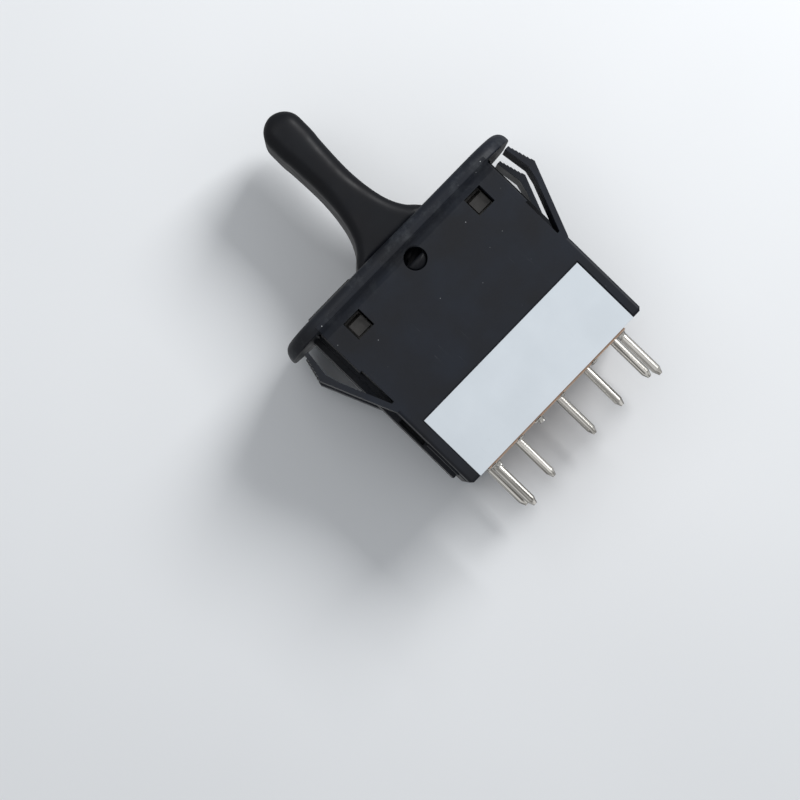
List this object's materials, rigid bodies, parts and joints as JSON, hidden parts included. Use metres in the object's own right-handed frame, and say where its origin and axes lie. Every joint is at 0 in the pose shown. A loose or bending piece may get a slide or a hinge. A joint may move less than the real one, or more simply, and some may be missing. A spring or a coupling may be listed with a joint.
{
  "type": "cruise control switch",
  "caption": "Snap-in panel switch: spring-centred paddle lever in a rounded bezel, deep plastic body with sprung side arms, blank label, board and terminal pins below.",
  "frame": {"origin": "centre of the bezel's underside, in the plane of the panel's outer face", "axes": "+Z out of the panel along the lever, X along the bezel's long side, -Y towards the face that carries the label"},
  "size_m": [0.0516, 0.024, 0.0767],
  "materials": {
    "body_plastic": "moulded matte black, fine texture",
    "lever_plastic": "moulded satin black",
    "carrier_plastic": "moulded matte dark grey",
    "slider_plastic": "moulded natural white",
    "lens_plastic": "moulded smoked gloss",
    "board_laminate": "tan resin-bonded laminate",
    "copper": "bare copper",
    "tinned_metal": "bright tin plating",
    "solder": "smooth solder",
    "bronze": "rolled phosphor bronze",
    "spring_steel": "drawn spring wire",
    "lamp_resin": "clear cast resin over white",
    "resistor_lacquer": "dipped lacquer",
    "label_paper": "blank matte label"
  },
  "bodies": {
    "switch_body": {"housing": "body_plastic", "carrier": "carrier_plastic", "return_spring_left": "spring_steel", "return_spring_right": "spring_steel", "circuit_board": "board_laminate", "contact_pads": "copper", "solder_joints": "solder", "indicator_lens": "lens_plastic", "indicator_lamp": "lamp_resin", "resistor": "resistor_lacquer", "label": "label_paper", "pin_1": "tinned_metal", "pin_2": "tinned_metal", "pin_3": "tinned_metal", "pin_4": "tinned_metal", "pin_5": "tinned_metal", "pin_6": "tinned_metal", "pin_7": "tinned_metal"},
    "lever_arm": {"lever": "lever_plastic"},
    "contact_slider": {"slider": "slider_plastic", "wiper_front": "bronze", "wiper_rear": "bronze"}
  },
  "joints": [
    {"name": "lever_swing", "type": "hinge", "parent": "switch_body", "child": "lever_arm", "pos_m": [0, 0, -0.0028], "axis": [0, 1, 0], "range_deg": [-11, 11], "stiffness_Nm_per_rad": 0.4},
    {"name": "slider_travel", "type": "slide", "parent": "switch_body", "child": "contact_slider", "axis": [1, 0, 0], "range_m": [-0.0048, 0.0048], "deforming": ["return_spring_left", "return_spring_right"]}
  ],
  "couplings": [
    {"joint": "slider_travel", "follows": "lever_swing", "m_per_rad": -0.024449}
  ]
}
